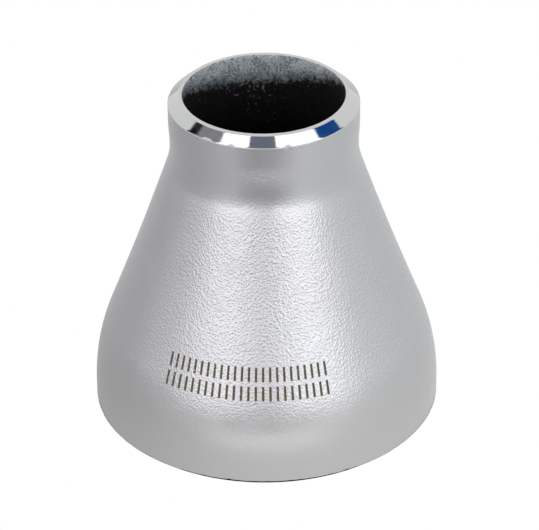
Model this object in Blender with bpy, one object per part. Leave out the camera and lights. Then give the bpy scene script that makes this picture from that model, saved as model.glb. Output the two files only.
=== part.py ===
"""A concentric butt-weld pipe reducer, 3 inch to 1 1/2 inch, pressed from one seamless tube.

The reducer is one piece of stainless steel: a wall turned about +Z, the flow axis. The large end's face lies at
Z = 0 and the small end's face at Z = END_TO_END. Lengths are in metres and angles in radians.

The wall's section is drawn from the large end up to the small end: a short straight end, a rounded shoulder,
a cone that is very slightly hollow, a fillet and a neck that flares a little towards its end. The bore follows
the outside at the local wall thickness, and both ends are bevelled for welding.
"""

import math
from collections import namedtuple

import bmesh
import bpy

# The two pipe sizes that the reducer joins, and its length between their faces.
LARGE_DIAMETER = 0.0889
SMALL_DIAMETER = 0.0483
END_TO_END = 0.0890

# The wall grows thicker towards the neck, where forming gathers the tube's metal.
LARGE_WALL = 0.00305
SMALL_WALL = 0.00375

# Weld preparation of both ends: a flat root face next to the bore, and a bevel out from it.
ROOT_FACE = 0.0010
BEVEL_ANGLE = math.radians(40.0)  # from the plane of the end

# The pressed shape. A slope is the angle between the wall and the flow axis.
LARGE_STRAIGHT = 0.0055
SHOULDER_RADIUS = 0.055
SHOULDER_SLOPE = math.radians(21.4)  # where the cone leaves the shoulder
FOOT_SLOPE = math.radians(18.5)  # where the cone meets the neck's fillet
FOOT_RADIUS = 0.020
NECK_WAIST = 0.0003  # how much smaller the neck's radius is at its foot than at its end
NECK_FLARE = 0.0070  # the length over which the neck widens from its foot

# How finely the round shapes are divided.
SEGMENTS_ROUND = 96
SHOULDER_STEPS = 6
CONE_STEPS = 4
FOOT_STEPS = 5
FLARE_STEPS = 3
SHARP_ANGLE = math.radians(20.0)

STEEL_COLOUR = (0.56, 0.56, 0.57, 1.0)
STEEL_ROUGHNESS = 0.45

WallPoint = namedtuple("WallPoint", "radius height slope")


def bend(start, end_slope, bend_radius, steps):
    """Points after start, on an arc from its slope to end_slope. A hollow arc has a negative radius."""
    points = []
    for step in range(1, steps + 1):
        slope = start.slope + (end_slope - start.slope) * step / steps
        radius = start.radius - bend_radius * (math.cos(start.slope) - math.cos(slope))
        height = start.height + bend_radius * (math.sin(slope) - math.sin(start.slope))
        points.append(WallPoint(radius, height, slope))
    return points


def cone_radius():
    """The radius of the hollow in the cone that joins the shoulder to the neck's fillet."""
    drop = LARGE_DIAMETER / 2 - (SMALL_DIAMETER / 2 - NECK_WAIST)
    drop -= SHOULDER_RADIUS * (1 - math.cos(SHOULDER_SLOPE))
    drop -= FOOT_RADIUS * (1 - math.cos(FOOT_SLOPE))
    return drop / (math.cos(FOOT_SLOPE) - math.cos(SHOULDER_SLOPE))


def flare(start, steps):
    """Points after start, where the neck widens by its waist along half a cosine wave."""
    points = []
    for step in range(1, steps + 1):
        share = step / steps
        widening = NECK_WAIST * (1 - math.cos(math.pi * share)) / 2
        steepness = NECK_WAIST * math.pi * math.sin(math.pi * share) / (2 * NECK_FLARE)
        height = start.height + NECK_FLARE * share
        points.append(WallPoint(start.radius + widening, height, -math.atan(steepness)))
    return points


def outside_of_wall():
    """The outside from the large end up, as pressed, before the bevels are cut."""
    points = [WallPoint(LARGE_DIAMETER / 2, 0.0, 0.0)]
    points.append(WallPoint(LARGE_DIAMETER / 2, LARGE_STRAIGHT, 0.0))
    points += bend(points[-1], SHOULDER_SLOPE, SHOULDER_RADIUS, SHOULDER_STEPS)
    points += bend(points[-1], FOOT_SLOPE, -cone_radius(), CONE_STEPS)
    points += bend(points[-1], 0.0, -FOOT_RADIUS, FOOT_STEPS)
    points += flare(points[-1], FLARE_STEPS)
    points.append(WallPoint(SMALL_DIAMETER / 2, END_TO_END, 0.0))
    return points


def inside_of_wall(outside):
    """The bore from the large end up: each outside point moved in by the wall's thickness there."""
    points = []
    for point in outside:
        wall = LARGE_WALL + (SMALL_WALL - LARGE_WALL) * point.height / END_TO_END
        radius = point.radius - wall * math.cos(point.slope)
        height = point.height - wall * math.sin(point.slope)
        points.append(WallPoint(radius, height, point.slope))
    return points


def wall_section():
    """The wall's closed section as (radius, height) corners, with both weld ends cut."""
    outside = outside_of_wall()
    inside = inside_of_wall(outside)
    large_bevel = (LARGE_WALL - ROOT_FACE) * math.tan(BEVEL_ANGLE)
    small_bevel = (SMALL_WALL - ROOT_FACE) * math.tan(BEVEL_ANGLE)
    section = [(inside[0].radius + ROOT_FACE, 0.0), (outside[0].radius, large_bevel)]
    section += [(point.radius, point.height) for point in outside[1:-1]]
    section.append((outside[-1].radius, END_TO_END - small_bevel))
    section.append((inside[-1].radius + ROOT_FACE, END_TO_END))
    section += [(point.radius, point.height) for point in reversed(inside)]
    return section


def turned_mesh(name, section):
    """A closed mesh made by turning a closed section once about +Z."""
    shape = bmesh.new()
    corners = [shape.verts.new((radius, 0.0, height)) for radius, height in section]
    for corner, following in zip(corners, corners[1:] + corners[:1]):
        shape.edges.new((corner, following))
    bmesh.ops.spin(
        shape,
        geom=shape.verts[:] + shape.edges[:],
        axis=(0.0, 0.0, 1.0),
        angle=math.tau,
        steps=SEGMENTS_ROUND,
        use_merge=True,
    )
    bmesh.ops.recalc_face_normals(shape, faces=shape.faces[:])
    mesh = bpy.data.meshes.new(name)
    shape.to_mesh(mesh)
    shape.free()
    mesh.shade_smooth()
    mesh.set_sharp_from_angle(angle=SHARP_ANGLE)
    return mesh


def stainless_steel():
    """Blasted stainless steel."""
    steel = bpy.data.materials.new("blasted_steel")
    steel.use_nodes = True
    shader = steel.node_tree.nodes["Principled BSDF"]
    shader.inputs["Base Color"].default_value = STEEL_COLOUR
    shader.inputs["Roughness"].default_value = STEEL_ROUGHNESS
    shader.inputs["Metallic"].default_value = 1.0
    return steel


def reducer_body():
    """The whole reducer, from the large weld end to the small one."""
    mesh = turned_mesh("reducer_body", wall_section())
    mesh.materials.append(stainless_steel())
    body = bpy.data.objects.new("reducer_body", mesh)
    bpy.context.scene.collection.objects.link(body)
    return body


def clear_scene():
    """Removes the objects that the file opened with."""
    for thing in list(bpy.data.objects):
        bpy.data.objects.remove(thing)


clear_scene()
reducer_body()
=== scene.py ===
"""The looks of the concentric reducer: its blasted wall, turned weld ends, scaled bore, light and camera.

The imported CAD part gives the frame. One closed, finely divided wall stands for its only node,
reducer_body. The wall follows the same section as the CAD part, with the surface that forming, blasting
and turning leave on it. Lengths are in metres and angles in radians unless a name or a comment says
degrees. +Z is the flow axis, and the camera is on the -Y side.
"""

import math
import random
from collections import namedtuple

import bpy
import numpy as np
from mathutils import Matrix, Vector, noise


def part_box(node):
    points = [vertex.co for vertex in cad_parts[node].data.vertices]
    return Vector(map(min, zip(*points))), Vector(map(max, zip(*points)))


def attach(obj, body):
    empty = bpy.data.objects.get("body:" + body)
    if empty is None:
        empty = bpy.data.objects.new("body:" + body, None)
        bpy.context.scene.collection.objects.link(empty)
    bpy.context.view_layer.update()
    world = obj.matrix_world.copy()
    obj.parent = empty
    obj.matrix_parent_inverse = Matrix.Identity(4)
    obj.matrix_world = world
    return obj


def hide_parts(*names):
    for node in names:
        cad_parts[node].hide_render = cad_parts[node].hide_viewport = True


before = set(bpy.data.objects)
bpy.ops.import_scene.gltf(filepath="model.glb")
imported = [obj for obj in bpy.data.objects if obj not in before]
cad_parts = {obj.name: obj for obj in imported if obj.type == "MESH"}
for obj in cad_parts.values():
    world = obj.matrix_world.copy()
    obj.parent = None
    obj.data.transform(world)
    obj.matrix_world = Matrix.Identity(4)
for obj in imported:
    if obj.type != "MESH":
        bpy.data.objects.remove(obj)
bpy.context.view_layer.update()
NODE_LOW, NODE_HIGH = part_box("reducer_body")

# ----------------------------------------------------------------------------------------------------
# Sizes
# ----------------------------------------------------------------------------------------------------

MM = 0.001

LARGE_RADIUS = (NODE_HIGH.x - NODE_LOW.x) / 2
LENGTH = NODE_HIGH.z - NODE_LOW.z
CENTRE = (NODE_LOW + NODE_HIGH) / 2

# The CAD section's driving dimensions.
SMALL_RADIUS = 24.15 * MM
LARGE_WALL = 3.05 * MM
SMALL_WALL = 3.75 * MM
ROOT_FACE = 1.0 * MM
BEVEL_ANGLE = math.radians(40.0)
LARGE_STRAIGHT = 5.5 * MM
SHOULDER_RADIUS = 55 * MM
SHOULDER_SLOPE = math.radians(21.4)
FOOT_SLOPE = math.radians(18.5)
FOOT_RADIUS = 20 * MM
NECK_WAIST = 0.3 * MM
NECK_FLARE = 7.0 * MM

# The edges that turning and handling leave between the faces of the weld ends.
CREST_ROUNDING = 0.16 * MM
WORN_CREST_ROUNDING = 0.34 * MM
ROOT_ROUNDING = 0.10 * MM
DEBURRED_ROUNDING = 0.18 * MM
ROUNDING_STEPS = 3

# How finely the wall is divided.
SEGMENTS_ROUND = 360
OUTSIDE_STEP = 0.70 * MM
BORE_STEP = 0.55 * MM
DEEP_BORE_STEP = 1.60 * MM
DEEP_BORE_HEIGHT = 62 * MM
TURNED_STEP = 0.45 * MM

# Finishes, which are also the wall's material slots, in order.
BLASTED, TURNED, BORE = range(3)

WallPoint = namedtuple("WallPoint", "radius height slope")
Station = namedtuple("Station", "radius height finish")


def direction(azimuth, elevation):
    """The unit vector at an azimuth, 0 on the camera's side and a right angle at +X, and an elevation."""
    return Vector((
        math.sin(azimuth) * math.cos(elevation),
        -math.cos(azimuth) * math.cos(elevation),
        math.sin(elevation),
    ))


# ----------------------------------------------------------------------------------------------------
# The wall's section
# ----------------------------------------------------------------------------------------------------

def steps_for(length, step):
    return max(1, math.ceil(abs(length) / step))


def straight(start, end_height, step):
    """Points after start, straight up to end_height."""
    steps = steps_for(end_height - start.height, step)
    rise = (end_height - start.height) / steps
    return [WallPoint(start.radius, start.height + rise * (i + 1), 0.0) for i in range(steps)]


def bend(start, end_slope, bend_radius, step):
    """Points after start, on an arc from its slope to end_slope. A hollow arc has a negative radius."""
    turn = end_slope - start.slope
    steps = steps_for(bend_radius * turn, step)
    points = []
    for i in range(steps):
        slope = start.slope + turn * (i + 1) / steps
        radius = start.radius - bend_radius * (math.cos(start.slope) - math.cos(slope))
        height = start.height + bend_radius * (math.sin(slope) - math.sin(start.slope))
        points.append(WallPoint(radius, height, slope))
    return points


def cone_radius():
    """The radius of the hollow in the cone that joins the shoulder to the neck's fillet."""
    drop = LARGE_RADIUS - (SMALL_RADIUS - NECK_WAIST)
    drop -= SHOULDER_RADIUS * (1 - math.cos(SHOULDER_SLOPE))
    drop -= FOOT_RADIUS * (1 - math.cos(FOOT_SLOPE))
    return drop / (math.cos(FOOT_SLOPE) - math.cos(SHOULDER_SLOPE))


def flare(start, step):
    """Points after start, where the neck widens by its waist along half a cosine wave."""
    steps = steps_for(NECK_FLARE, step)
    points = []
    for i in range(steps):
        share = (i + 1) / steps
        radius = start.radius + NECK_WAIST * (1 - math.cos(math.pi * share)) / 2
        steepness = NECK_WAIST * math.pi * math.sin(math.pi * share) / (2 * NECK_FLARE)
        points.append(WallPoint(radius, start.height + NECK_FLARE * share, -math.atan(steepness)))
    return points


def outside_of_wall(step):
    """The outside from the large end's face up, before the bevels are cut."""
    points = [WallPoint(LARGE_RADIUS, 0.0, 0.0)]
    points += straight(points[-1], LARGE_STRAIGHT, step)
    points += bend(points[-1], SHOULDER_SLOPE, SHOULDER_RADIUS, step)
    points += bend(points[-1], FOOT_SLOPE, -cone_radius(), step)
    points += bend(points[-1], 0.0, -FOOT_RADIUS, step)
    points += flare(points[-1], step)
    points += straight(points[-1], LENGTH, step)
    return points


def inside_of_wall(outside):
    """The bore: each outside point moved in by the wall's thickness there."""
    points = []
    for point in outside:
        wall = LARGE_WALL + (SMALL_WALL - LARGE_WALL) * point.height / LENGTH
        radius = point.radius - wall * math.cos(point.slope)
        points.append(WallPoint(radius, point.height - wall * math.sin(point.slope), point.slope))
    return points


def rounded_corner(before, corner, after, rounding):
    """Points of an arc that rounds a section's corner between its two straight sides."""
    corner = Vector(corner)
    one_side = (Vector(before) - corner).normalized()
    other_side = (Vector(after) - corner).normalized()
    half = one_side.angle(other_side) / 2
    reach = rounding / math.tan(half)
    middle = corner + (one_side + other_side).normalized() * (rounding / math.sin(half))
    first = (corner + one_side * reach - middle).normalized()
    last = (corner + other_side * reach - middle).normalized()
    shares = [i / ROUNDING_STEPS for i in range(ROUNDING_STEPS + 1)]
    return [middle + first.slerp(last, share) * rounding for share in shares]


def face_between(start, end, finish):
    """Stations strictly between two section points, on a turned face."""
    start, end = Vector(start), Vector(end)
    steps = steps_for((end - start).length, TURNED_STEP)
    points = [start.lerp(end, i / steps) for i in range(1, steps)]
    return [Station(point.x, point.y, finish) for point in points]


def weld_end(outer, crest, root_outer, root_inner, inner, crest_rounding):
    """Stations from a weld end's outer wall over its bevel and root face to the bore."""
    crest_edge = rounded_corner(outer, crest, root_outer, crest_rounding)
    root_edge = rounded_corner(crest, root_outer, root_inner, ROOT_ROUNDING)
    bore_edge = rounded_corner(root_outer, root_inner, inner, DEBURRED_ROUNDING)
    stations = [Station(point.x, point.y, TURNED) for point in crest_edge]
    stations += face_between(crest_edge[-1], root_edge[0], TURNED)
    stations += [Station(point.x, point.y, TURNED) for point in root_edge]
    stations += face_between(root_edge[-1], bore_edge[0], TURNED)
    stations += [Station(point.x, point.y, BORE) for point in bore_edge]
    return stations


def section_stations():
    """The closed section: up the outside, over the small end, down the bore and over the large end."""
    outside = outside_of_wall(OUTSIDE_STEP)
    upper_bore = [p for p in inside_of_wall(outside_of_wall(BORE_STEP)) if p.height >= DEEP_BORE_HEIGHT]
    deep_bore = [p for p in inside_of_wall(outside_of_wall(DEEP_BORE_STEP)) if p.height < DEEP_BORE_HEIGHT]
    bore_small = upper_bore[-1].radius
    bore_large = deep_bore[0].radius
    small_bevel = (SMALL_WALL - ROOT_FACE) * math.tan(BEVEL_ANGLE)
    large_bevel = (LARGE_WALL - ROOT_FACE) * math.tan(BEVEL_ANGLE)

    small_end = weld_end(
        (SMALL_RADIUS, LENGTH - 2 * small_bevel),
        (SMALL_RADIUS, LENGTH - small_bevel),
        (bore_small + ROOT_FACE, LENGTH),
        (bore_small, LENGTH),
        (bore_small, LENGTH - small_bevel),
        CREST_ROUNDING,
    )
    large_end = weld_end(
        (LARGE_RADIUS, 2 * large_bevel),
        (LARGE_RADIUS, large_bevel),
        (bore_large + ROOT_FACE, 0.0),
        (bore_large, 0.0),
        (bore_large, large_bevel),
        WORN_CREST_ROUNDING,
    )
    low, high = large_end[0].height, small_end[0].height
    stations = [Station(p.radius, p.height, BLASTED) for p in outside if low < p.height < high]
    stations += small_end
    top, bottom = small_end[-1].height, large_end[-1].height
    bore = [p for p in reversed(deep_bore + upper_bore) if bottom < p.height < top]
    stations += [Station(p.radius, p.height, BORE) for p in bore]
    stations += reversed(large_end)
    return stations


# ----------------------------------------------------------------------------------------------------
# The surface that forming, blasting and turning leave
# ----------------------------------------------------------------------------------------------------

WAVINESS = 0.035 * MM
WAVINESS_LENGTH = 14 * MM
PEEL = 0.007 * MM
PEEL_LENGTH = 1.7 * MM
CHATTER = 0.0015 * MM
CHATTER_LENGTH = 3.0 * MM
SCALE_RELIEF = 0.035 * MM
SCALE_LENGTH = 1.6 * MM

# The top of the bore is cleaned down to a tilted edge, deepest towards +Y and a little towards -X, where
# light from the camera's side reaches furthest down the far wall. The cleaned part is cut a little below
# the scale. Its grey colour is partly painted light, and the near-black scale under it partly painted shade.
CLEANED_AND_LIT_TILT = 0.40
CLEANED_AND_LIT_LEAN = 0.07
CLEANED_AND_LIT_EDGE = LENGTH + 0.45 * MM
CLEANED_CUT = 0.14 * MM
CLEANED_STEP = 0.5 * MM

Knock = namedtuple("Knock", "azimuth radius height size depth")

# Handling marks by the crest of the small end's bevel: the azimuth in degrees, and how far below the
# crest in millimetres.
CREST_KNOCKS = [
    (-75, 2.6), (-56, 0.2), (-37.5, 0.1), (-34.5, 0.2),
    (-20, 0.2), (14, 0.1), (62, 0.2), (131, 0.3),
]
CREST_KNOCK_SIZE = 0.42 * MM
CREST_KNOCK_DEPTH = 0.16 * MM

# The nicks that cutting left all round the large end, at most this far below the crest.
EDGE_KNOCKS = 70
EDGE_KNOCK_SEED = 11
EDGE_KNOCK_DROP = 0.5  # millimetres
EDGE_KNOCK_SIZE = 0.55 * MM
EDGE_KNOCK_DEPTH = 0.13 * MM


def swell(point, length):
    """Smooth noise from -1 to 1 with bumps about length apart."""
    return noise.noise(point / length)


def wall_knocks():
    """The knocks on the crests of both bevels."""
    small_crest = LENGTH - (SMALL_WALL - ROOT_FACE) * math.tan(BEVEL_ANGLE)
    large_crest = (LARGE_WALL - ROOT_FACE) * math.tan(BEVEL_ANGLE)
    knocks = []
    for degrees, below in CREST_KNOCKS:
        height = small_crest - below * MM
        azimuth = math.radians(degrees)
        knocks.append(Knock(azimuth, SMALL_RADIUS, height, CREST_KNOCK_SIZE, CREST_KNOCK_DEPTH))
    chance = random.Random(EDGE_KNOCK_SEED)
    for _ in range(EDGE_KNOCKS):
        height = large_crest - chance.uniform(0.0, EDGE_KNOCK_DROP) * MM
        depth = EDGE_KNOCK_DEPTH * chance.uniform(0.4, 1.0)
        knocks.append(Knock(chance.uniform(0, math.tau), LARGE_RADIUS, height, EDGE_KNOCK_SIZE, depth))
    return knocks


def relief(point, finish):
    """How far the surface stands out from the section at a point, in metres."""
    if finish == BLASTED:
        return WAVINESS * swell(point, WAVINESS_LENGTH) + PEEL * swell(point, PEEL_LENGTH)
    if finish == TURNED:
        return CHATTER * swell(point, CHATTER_LENGTH)
    above_edge = point.z + CLEANED_AND_LIT_TILT * point.y - CLEANED_AND_LIT_LEAN * point.x - CLEANED_AND_LIT_EDGE
    cut = CLEANED_CUT * min(max(above_edge / CLEANED_STEP, 0.0), 1.0)
    return SCALE_RELIEF * swell(point, SCALE_LENGTH) + WAVINESS * swell(point, WAVINESS_LENGTH) - cut


def knock_depths(points, knocks):
    """How deep the knocks press each of the points in, in metres."""
    depths = np.zeros(len(points))
    for knock in knocks:
        place = direction(knock.azimuth, 0.0) * knock.radius + Vector((0.0, 0.0, knock.height))
        distance = np.linalg.norm(points - np.array(place), axis=1)
        depths += knock.depth * np.exp(-((distance / knock.size) ** 2))
    return depths


def outward_normals(stations):
    """The section's normal at each station, as (radial, axial), pointing out of the metal."""
    points = np.array([(s.radius, s.height) for s in stations])
    along = np.roll(points, -1, axis=0) - np.roll(points, 1, axis=0)
    normals = np.column_stack([along[:, 1], -along[:, 0]])
    return normals / np.linalg.norm(normals, axis=1)[:, None]


def wall_points(stations):
    """The wall's vertices, ring by ring."""
    places, normals, heights = [], [], []
    for station, (radial, axial) in zip(stations, outward_normals(stations)):
        for i in range(SEGMENTS_ROUND):
            angle = math.tau * i / SEGMENTS_ROUND
            around = Vector((math.cos(angle), math.sin(angle), 0.0))
            place = around * station.radius + Vector((0.0, 0.0, station.height))
            places.append(place)
            normals.append(around * radial + Vector((0.0, 0.0, axial)))
            heights.append(relief(place, station.finish))
    places, normals = np.array(places), np.array(normals)
    heights = np.array(heights) - knock_depths(places, wall_knocks())
    return places + normals * heights[:, None]


def wall_faces(rings):
    """Quads between each ring and the next, closing the last ring onto the first."""
    faces = []
    for ring in range(rings):
        here = ring * SEGMENTS_ROUND
        above = (ring + 1) % rings * SEGMENTS_ROUND
        for i in range(SEGMENTS_ROUND):
            j = (i + 1) % SEGMENTS_ROUND
            faces.append((here + i, here + j, above + j, above + i))
    return faces


def reducer_wall():
    """The whole reducer as one closed mesh, in place of the CAD node."""
    stations = section_stations()
    mesh = bpy.data.meshes.new("reducer_wall")
    mesh.from_pydata(wall_points(stations), [], wall_faces(len(stations)))
    finishes = np.repeat([s.finish for s in stations], SEGMENTS_ROUND).astype(np.int32)
    mesh.polygons.foreach_set("material_index", finishes)
    mesh.shade_smooth()
    for material in (blasted_steel(), turned_steel(), bore_steel()):
        mesh.materials.append(material)
    wall = bpy.data.objects.new("reducer_wall", mesh)
    bpy.context.scene.collection.objects.link(wall)
    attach(wall, "root")
    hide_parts("reducer_body")


# ----------------------------------------------------------------------------------------------------
# Materials
# ----------------------------------------------------------------------------------------------------

# The etched marking: two rows of plain bars round the camera's side of the cone. The pitch and the start
# are angles round the axis, and a bar's width and the blur of its sides are shares of the pitch.
MARK_HEIGHTS = (30.2 * MM, 25.6 * MM)
MARK_TALL = 3.5 * MM
MARK_START = math.radians(-39)
MARK_PITCH = math.radians(2.6)
MARK_WIDTH = 0.34
MARK_BARS = 24
MARK_SIDE_BLUR = 0.04
MARK_END_BLUR = 0.1 * MM

# The blasting is finer round this azimuth, on the -X side: all of it within the inner angle, fading out
# by the outer one.
FINE_SIDE = math.radians(-95)
FINE_SIDE_INNER = math.radians(40)
FINE_SIDE_OUTER = math.radians(58)

# The wall's colours: a little lilac to the left, a little blue to the right and a little warm low down.
STEEL_LEFT = (0.563, 0.556, 0.586, 1.0)
STEEL_RIGHT = (0.546, 0.566, 0.584, 1.0)
STEEL_LOW = (0.572, 0.565, 0.566, 1.0)
ETCHED = (0.115, 0.100, 0.060, 1.0)

# The turned faces' colours.
TURNED_BRIGHT = (0.575, 0.575, 0.585, 1.0)
TURNED_DULL = (0.545, 0.550, 0.555, 1.0)

# The bore's colours: the cleaned metal and its pits, which also paint the light that reaches the top of
# the far wall; white painted glints; the near-black scale, which also paints the shade deep in the bore;
# and grey specks on the scale that paint glints.
CLEANED_AND_LIT_PIT = (0.22, 0.25, 0.29, 1.0)
CLEANED_AND_LIT_METAL = (0.84, 0.94, 1.0, 1.0)
GLINT = (1.0, 1.0, 1.0, 1.0)
SCALE_AND_SHADE = (0.006, 0.004, 0.006, 1.0)
GLINT_SPECK = (0.36, 0.34, 0.36, 1.0)

# The bore's scale and what is left of the pits after cleaning are partly oxide.
BORE_METALLIC = 0.5

# Painted glints as bright specks on the bore's dark scale: densest a little to the left of the middle,
# and fewer to each side.
GLINT_SPECK_MIDDLE = -3 * MM
GLINT_SPECK_FADE = 7.0


class Nodes:
    """A material's node tree, with short calls for the nodes that the finishes share."""

    def __init__(self, name):
        self.material = bpy.data.materials.new(name)
        self.material.use_nodes = True
        self.tree = self.material.node_tree
        self.shader = self.tree.nodes["Principled BSDF"]
        self.place = self.tree.nodes.new("ShaderNodeTexCoord").outputs["Object"]
        split = self.tree.nodes.new("ShaderNodeSeparateXYZ")
        self.tree.links.new(self.place, split.inputs[0])
        self.x, self.y, self.z = split.outputs

    def link(self, value, socket):
        """Links an output to a socket, or sets a plain value on it."""
        if isinstance(value, bpy.types.NodeSocket):
            self.tree.links.new(value, socket)
        else:
            socket.default_value = value

    def maths(self, operation, *values):
        node = self.tree.nodes.new("ShaderNodeMath")
        node.operation = operation
        for value, socket in zip(values, node.inputs):
            self.link(value, socket)
        return node.outputs[0]

    def azimuth(self):
        """The angle round the axis, which is 0 on the camera's side and 90 degrees at +X."""
        return self.maths("ARCTAN2", self.x, self.maths("MULTIPLY", self.y, -1.0))

    def grain(self, length, detail=2.0, roughness=0.5):
        """Noise from 0 to 1 with features about length apart."""
        node = self.tree.nodes.new("ShaderNodeTexNoise")
        self.link(self.place, node.inputs["Vector"])
        node.inputs["Scale"].default_value = 1.0 / length
        node.inputs["Detail"].default_value = detail
        node.inputs["Roughness"].default_value = roughness
        return node.outputs["Fac"]

    def dimples(self, length):
        """Round hollows about length apart: 0 in the middle of one, towards 1 on the ridges."""
        node = self.tree.nodes.new("ShaderNodeTexVoronoi")
        node.feature = "SMOOTH_F1"
        self.link(self.place, node.inputs["Vector"])
        node.inputs["Scale"].default_value = 1.0 / length
        node.inputs["Smoothness"].default_value = 0.25
        return node.outputs["Distance"]

    def spread(self, value, low, high, out_low=0.0, out_high=1.0):
        """value from low to high, stretched to out_low to out_high."""
        node = self.tree.nodes.new("ShaderNodeMapRange")
        for number, socket in zip((value, low, high, out_low, out_high), node.inputs):
            self.link(number, socket)
        return node.outputs["Result"]

    def colours(self, share, one, other):
        """A blend from one colour to the other."""
        node = self.tree.nodes.new("ShaderNodeMix")
        node.data_type = "RGBA"
        self.link(share, node.inputs["Factor"])
        self.link(one, node.inputs["A"])
        self.link(other, node.inputs["B"])
        return node.outputs["Result"]

    def bump(self, height, depth, below=None):
        """A bump of this depth for heights from 0 to 1, on top of the one below it."""
        node = self.tree.nodes.new("ShaderNodeBump")
        node.inputs["Distance"].default_value = depth
        self.link(height, node.inputs["Height"])
        if below:
            self.link(below, node.inputs["Normal"])
        return node.outputs["Normal"]

    def finish(self, colour, roughness, normal, metallic=1.0):
        self.shader.inputs["Metallic"].default_value = metallic
        self.link(colour, self.shader.inputs["Base Color"])
        self.link(roughness, self.shader.inputs["Roughness"])
        self.link(normal, self.shader.inputs["Normal"])
        return self.material


def marking(nodes):
    """1 inside the plain etched bars on the shoulder and 0 elsewhere."""
    turn = nodes.maths("DIVIDE", nodes.maths("SUBTRACT", nodes.azimuth(), MARK_START), MARK_PITCH)
    off_bar = nodes.maths("ABSOLUTE", nodes.maths("SUBTRACT", nodes.maths("FRACT", turn), 0.5))
    half_width, half_height = MARK_WIDTH / 2, MARK_TALL / 2
    bars = nodes.spread(off_bar, half_width - MARK_SIDE_BLUR, half_width + MARK_SIDE_BLUR, 1.0, 0.0)
    started = nodes.maths("GREATER_THAN", turn, 0.0)
    unfinished = nodes.maths("LESS_THAN", turn, MARK_BARS)
    within = nodes.maths("MULTIPLY", started, unfinished)
    rows = 0.0
    for height in MARK_HEIGHTS:
        off_row = nodes.maths("ABSOLUTE", nodes.maths("SUBTRACT", nodes.z, height))
        row = nodes.spread(off_row, half_height - MARK_END_BLUR, half_height + MARK_END_BLUR, 1.0, 0.0)
        rows = nodes.maths("ADD", row, rows)
    worn = nodes.spread(nodes.grain(0.5 * MM, 1.0), 0.22, 0.36, 0.4, 1.0)
    return nodes.maths("MULTIPLY", nodes.maths("MULTIPLY", bars, within), nodes.maths("MULTIPLY", rows, worn))


def coarseness(nodes):
    """How coarse the blasting is: full on the flank, and finer on the neck, the belly and the -X side."""
    above_belly = nodes.spread(nodes.z, 17 * MM, 27 * MM)
    below_neck = nodes.spread(nodes.z, 66 * MM, 70 * MM, 1.0, 0.0)
    off_side = nodes.maths("ABSOLUTE", nodes.maths("SUBTRACT", nodes.azimuth(), FINE_SIDE))
    beside = nodes.spread(off_side, FINE_SIDE_INNER, FINE_SIDE_OUTER)
    flank = nodes.maths("MULTIPLY", nodes.maths("MULTIPLY", above_belly, below_neck), beside)
    return nodes.spread(flank, 0.0, 1.0, 0.3, 1.0)


def blasted_steel():
    """Bead-blasted stainless steel: satin, with a fine beaded grain, faint tints and etched bars."""
    nodes = Nodes("blasted_steel")
    patchy = nodes.spread(nodes.grain(14 * MM, 1.0), 0.35, 0.65, -9 * MM, 9 * MM)
    tint = nodes.spread(nodes.maths("ADD", nodes.x, patchy), 2 * MM, 22 * MM)
    flank = nodes.colours(tint, STEEL_LEFT, STEEL_RIGHT)
    low = nodes.spread(nodes.z, 10 * MM, 30 * MM, 1.0, 0.0)
    steel = nodes.colours(low, flank, STEEL_LOW)
    etched = marking(nodes)
    colour = nodes.colours(etched, steel, ETCHED)
    patches = nodes.spread(nodes.grain(6 * MM, 3.0), 0.3, 0.7, 0.27, 0.33)
    roughness = nodes.maths("ADD", patches, nodes.maths("MULTIPLY", etched, 0.3))
    coarse = coarseness(nodes)
    peel = nodes.bump(nodes.maths("MULTIPLY", nodes.grain(0.34 * MM, 1.0), coarse), 0.040 * MM)
    beads = nodes.bump(nodes.maths("MULTIPLY", nodes.dimples(0.60 * MM), coarse), 0.080 * MM, peel)
    return nodes.finish(colour, roughness, beads)


def turned_steel():
    """The lathe-cut bevels and root faces: bright, with fine rings round the axis."""
    nodes = Nodes("turned_steel")
    colour = nodes.colours(nodes.grain(5 * MM), TURNED_BRIGHT, TURNED_DULL)
    roughness = nodes.spread(nodes.grain(2.5 * MM, 3.0), 0.3, 0.7, 0.04, 0.09)
    rings = nodes.maths("SINE", nodes.maths("MULTIPLY", nodes.z, math.tau / (0.12 * MM)))
    grooves = nodes.bump(nodes.maths("MULTIPLY", rings, 0.5), 0.0006 * MM)
    return nodes.finish(colour, roughness, grooves)


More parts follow.
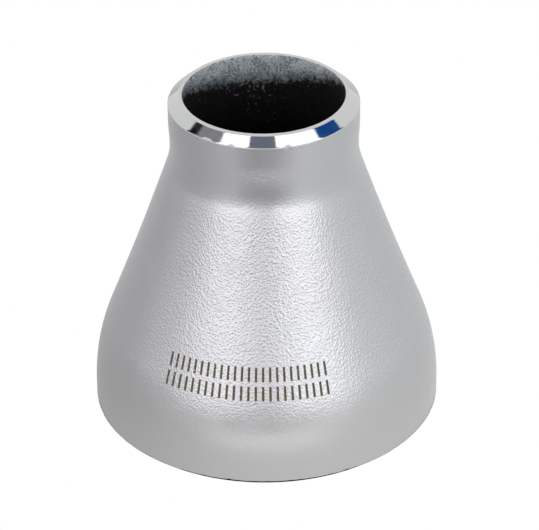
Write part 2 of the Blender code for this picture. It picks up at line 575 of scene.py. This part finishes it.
def bore_steel():
    """The bore: pitted grey metal cleaned off-centre below the small end, and dark scale elsewhere.

    The grey metal also paints the light that reaches the top of the far wall, the near-black scale also
    paints the shade deep in the bore, and white and grey specks paint glints.
    """
    nodes = Nodes("bore_steel")
    # Painted light and shade: above this tilted, ragged edge the grey cleaned metal also paints the light on
    # the far wall, and below it the near-black scale also paints the shade.
    ragged = nodes.spread(nodes.grain(1.2 * MM, 4.0, 0.7), 0.2, 0.8, -2.0 * MM, 2.0 * MM)
    tilted = nodes.maths("MULTIPLY_ADD", nodes.y, CLEANED_AND_LIT_TILT, nodes.z)
    tilted = nodes.maths("MULTIPLY_ADD", nodes.x, -CLEANED_AND_LIT_LEAN, tilted)
    ragged_height = nodes.maths("ADD", tilted, ragged)
    cleaned_and_lit = nodes.spread(ragged_height, CLEANED_AND_LIT_EDGE - 0.8 * MM, CLEANED_AND_LIT_EDGE + 3.2 * MM)
    cloud = nodes.spread(nodes.grain(4 * MM, 2.0), 0.35, 0.65, -0.05, 0.07)
    pits = nodes.spread(nodes.maths("ADD", nodes.grain(0.45 * MM, 3.0, 0.65), cloud), 0.38, 0.60)
    grey = nodes.colours(pits, CLEANED_AND_LIT_PIT, CLEANED_AND_LIT_METAL)
    # Painted glints: white base colour in spots near the top of the bore stands in for highlights off the
    # lip.
    near_top = nodes.spread(nodes.z, LENGTH - 3.2 * MM, LENGTH - 1.2 * MM, 0.70, 0.51)
    glints = nodes.spread(nodes.maths("SUBTRACT", nodes.grain(1.4 * MM, 2.0), near_top), 0.0, 0.05)
    grey = nodes.colours(glints, grey, GLINT)
    # Painted glints: specks on the dark scale, fewer deeper down and further to each side.
    deep = nodes.spread(nodes.z, 62 * MM, 82 * MM, 0.71, 0.550)
    aside = nodes.maths("ABSOLUTE", nodes.maths("SUBTRACT", nodes.x, GLINT_SPECK_MIDDLE))
    rarity = nodes.maths("MULTIPLY_ADD", aside, GLINT_SPECK_FADE, deep)
    glint_specks = nodes.spread(nodes.maths("SUBTRACT", nodes.grain(0.8 * MM, 3.0, 0.6), rarity), 0.0, 0.08)
    # Painted shade: the near-black scale stands in for the shade deep in the bore as well as for scale.
    scale_and_shade = nodes.colours(glint_specks, SCALE_AND_SHADE, GLINT_SPECK)
    colour = nodes.colours(cleaned_and_lit, scale_and_shade, grey)
    roughness = nodes.spread(nodes.maths("ADD", pits, glints), 0.0, 2.0, 0.60, 0.20)
    normal = nodes.bump(pits, 0.34 * MM)
    return nodes.finish(colour, roughness, normal, BORE_METALLIC)


# ----------------------------------------------------------------------------------------------------
# Stage, light and camera
# ----------------------------------------------------------------------------------------------------

CAMERA_ELEVATION = math.radians(31.3)
CAMERA_DISTANCE = 0.95
CAMERA_ROLL = math.radians(0.55)
LENS_MM = 247.4
AIM_RIGHT = 1.02 * MM
AIM_DOWN = 5.09 * MM

FLOOR_REACH = 3.0
FLOOR_DROP = 0.02 * MM
SKY_RADIUS = 1.2
SOFTBOX_DISTANCE = 1.5
SOFTBOX_ASIDE, SOFTBOX_UP = 33.75, 13
SOFTBOX_WIDE, SOFTBOX_TALL = 45, 28
CARD_STEP = math.radians(4)
WHITE = (1.0, 1.0, 1.0)

GlowCard = namedtuple("GlowCard", "name azimuths radiance colour")

# The table's glow as the steel reflects it: its middle value, what is added to the right and taken off to
# the left, the same for the front and the back, and what the front and the back both gain over the sides.
TABLE_GLOW = 0.655
GLOW_RIGHT = 0.125
GLOW_FRONT = 0.04
GLOW_ENDS = 0.125

# The shade where the reducer stands, and in front of it a lit band, with a dim part beyond. The band is
# given by where the light starts, is full and starts to fall, and where it is fully dim.
SHADE_INNER, SHADE_OUTER = 44.5 * MM, 45.6 * MM
LIT_BAND = (72 * MM, 84 * MM, 104 * MM, 116 * MM)
LIT_GAIN = 0.54
DIM_LOSS = 0.40
FRONT_INNER, FRONT_OUTER = math.cos(math.radians(10)), math.cos(math.radians(36))

# What the small end's bevel reflects of the room overhead, from left to right, with azimuths in degrees.
# The cards follow the band of elevations that the bevel reflects, which is highest straight ahead and
# falls off to both sides.
CEILING_CARDS = [
    GlowCard("ceiling_gap_left", (-110, -101), 0.01, WHITE),
    GlowCard("ceiling_grey_left", (-101, -74), 0.34, (0.98, 0.99, 1.05)),
    GlowCard("ceiling_lamp_left", (-74, -31), 2.2, WHITE),
    GlowCard("ceiling_gap_middle", (-31, 24), 0.24, (0.90, 0.98, 1.22)),
    GlowCard("ceiling_lamp_right", (24, 87), 2.2, WHITE),
    GlowCard("blue_sheet_right", (87, 112), 0.33, (0.02, 0.26, 1.0)),
]
BAND_TOP = math.radians(68.7)
BAND_DROP = math.radians(37.7)
BAND_SPAN = math.radians(119)
BAND_FALL = 2.4
BAND_WIDTH = math.radians(9)
BAND_ROWS = 4


def glowing(name, colour, radiance):
    """A plain material that only glows, with the radiance as a number or as a function of its nodes."""
    nodes = Nodes(name)
    nodes.shader.inputs["Base Color"].default_value = (0.0, 0.0, 0.0, 1.0)
    nodes.shader.inputs["Specular IOR Level"].default_value = 0.0
    nodes.shader.inputs["Emission Color"].default_value = (*colour, 1.0)
    nodes.link(radiance(nodes) if callable(radiance) else radiance, nodes.shader.inputs["Emission Strength"])
    return nodes.material


def stage_sheet(name, rows, material):
    """A sheet through rows of points, as part of the stage."""
    across = len(rows[0])
    faces = []
    for row in range(len(rows) - 1):
        for i in range(across - 1):
            corner = row * across + i
            faces.append((corner, corner + 1, corner + across + 1, corner + across))
    mesh = bpy.data.meshes.new(name)
    mesh.from_pydata([point for row in rows for point in row], [], faces)
    mesh.materials.append(material)
    sheet = bpy.data.objects.new(name, mesh)
    bpy.context.scene.collection.objects.link(sheet)
    return sheet


def card_angles(card):
    """The azimuths of a card's edges and of the steps between them."""
    first, last = (math.radians(degrees) for degrees in card.azimuths)
    steps = steps_for(last - first, CARD_STEP)
    return [first + (last - first) * i / steps for i in range(steps + 1)]


def table_rows(height):
    """The corners of a level square sheet under the reducer, row by row."""
    edges = (-FLOOR_REACH, FLOOR_REACH)
    return [[Vector((x, y, height)) for x in edges] for y in edges]


def floor():
    """The white table that the camera sees. The steel doesn't reflect it."""
    table = stage_sheet("floor", table_rows(-FLOOR_DROP), glowing("white_table", WHITE, 1.0))
    table.visible_diffuse = False
    table.visible_glossy = False


def table_glow(nodes):
    """How brightly each part of the table glows in the steel's reflections."""
    outward = nodes.tree.nodes.new("ShaderNodeVectorMath")
    outward.operation = "NORMALIZE"
    nodes.link(nodes.place, outward.inputs[0])
    split = nodes.tree.nodes.new("ShaderNodeSeparateXYZ")
    nodes.link(outward.outputs["Vector"], split.inputs[0])
    right, back = split.outputs["X"], split.outputs["Y"]
    front = nodes.maths("MULTIPLY", back, -1.0)
    y_squared = nodes.maths("MULTIPLY", nodes.y, nodes.y)
    reach = nodes.maths("SQRT", nodes.maths("MULTIPLY_ADD", nodes.x, nodes.x, y_squared))

    glow = nodes.maths("MULTIPLY_ADD", right, GLOW_RIGHT, TABLE_GLOW)
    glow = nodes.maths("MULTIPLY_ADD", front, GLOW_FRONT, glow)
    glow = nodes.maths("MULTIPLY_ADD", nodes.maths("MULTIPLY", back, back), GLOW_ENDS, glow)
    band_start, band_full, band_end, dim_full = LIT_BAND
    lit = nodes.spread(reach, band_start, band_full, 0.0, LIT_GAIN)
    dim = nodes.spread(reach, band_end, dim_full, 0.0, LIT_GAIN + DIM_LOSS)
    ahead = nodes.spread(front, FRONT_OUTER, FRONT_INNER)
    glow = nodes.maths("MULTIPLY_ADD", nodes.maths("SUBTRACT", lit, dim), ahead, glow)
    return nodes.maths("MULTIPLY", glow, nodes.spread(reach, SHADE_INNER, SHADE_OUTER))


def reflected_table():
    """The table as the steel sees it, which the camera doesn't."""
    material = glowing("reflected_table", WHITE, table_glow)
    table = stage_sheet("reflected_table", table_rows(0.0), material)
    table.visible_camera = False


def band_elevation(azimuth):
    """The elevation that the camera sees in the near side of the bevel at an azimuth."""
    return BAND_TOP - BAND_DROP * (abs(azimuth) / BAND_SPAN) ** BAND_FALL


def ceiling():
    """Lamps, gaps and a blue sheet overhead, which show as sharp patches on the bright bevel."""
    for card in CEILING_CARDS:
        angles = card_angles(card)
        rows = []
        for i in range(BAND_ROWS + 1):
            up = BAND_WIDTH * (i / BAND_ROWS - 0.5)
            rows.append([CENTRE + direction(a, band_elevation(a) + up) * SKY_RADIUS for a in angles])
        stage_sheet(card.name, rows, glowing(card.name, card.colour, card.radiance)).visible_camera = False


def softbox(name, azimuth, elevation, width, height, radiance):
    """A soft panel of light that faces the reducer. Where it is and how big it looks are in degrees."""
    light = bpy.data.lights.new(name, "AREA")
    light.shape = "RECTANGLE"
    light.size = 2 * SOFTBOX_DISTANCE * math.tan(math.radians(width) / 2)
    light.size_y = 2 * SOFTBOX_DISTANCE * math.tan(math.radians(height) / 2)
    light.energy = radiance * math.pi * light.size * light.size_y
    panel = bpy.data.objects.new(name, light)
    away = direction(math.radians(azimuth), math.radians(elevation))
    panel.location = CENTRE + away * SOFTBOX_DISTANCE
    panel.rotation_euler = away.to_track_quat("Z", "Y").to_euler()
    panel.visible_camera = False
    bpy.context.scene.collection.objects.link(panel)


def lights():
    """A low softbox on each side of the camera and a weaker one between them."""
    softbox("right_softbox", SOFTBOX_ASIDE, SOFTBOX_UP, SOFTBOX_WIDE, SOFTBOX_TALL, 0.92)
    softbox("left_softbox", -SOFTBOX_ASIDE, SOFTBOX_UP, SOFTBOX_WIDE, SOFTBOX_TALL, 0.75)
    softbox("middle_softbox", 0, SOFTBOX_UP, SOFTBOX_WIDE / 2, SOFTBOX_TALL, 0.08)


def surroundings():
    """The white room round the table."""
    world = bpy.data.worlds.new("white_room")
    world.use_nodes = True
    background = world.node_tree.nodes["Background"]
    background.inputs["Color"].default_value = (1.0, 1.0, 1.0, 1.0)
    background.inputs["Strength"].default_value = 1.0
    bpy.context.scene.world = world
    bpy.context.scene.view_settings.view_transform = "Standard"


def camera():
    """A long lens that looks down on the reducer from the -Y side."""
    away = Vector((0.0, -math.cos(CAMERA_ELEVATION), math.sin(CAMERA_ELEVATION)))
    upward = Vector((0.0, math.sin(CAMERA_ELEVATION), math.cos(CAMERA_ELEVATION)))
    place = CENTRE + away * CAMERA_DISTANCE
    aim = CENTRE + Vector((AIM_RIGHT, 0.0, 0.0)) - upward * AIM_DOWN
    lens = bpy.data.cameras.new("camera")
    lens.lens = LENS_MM
    lens.clip_end = 10.0
    view = bpy.data.objects.new("camera", lens)
    looking = (aim - place).to_track_quat("-Z", "Y").to_matrix().to_4x4()
    view.matrix_world = Matrix.Translation(place) @ looking @ Matrix.Rotation(-CAMERA_ROLL, 4, "Z")
    bpy.context.scene.collection.objects.link(view)
    bpy.context.scene.camera = view


reducer_wall()
floor()
reflected_table()
ceiling()
lights()
surroundings()
camera()
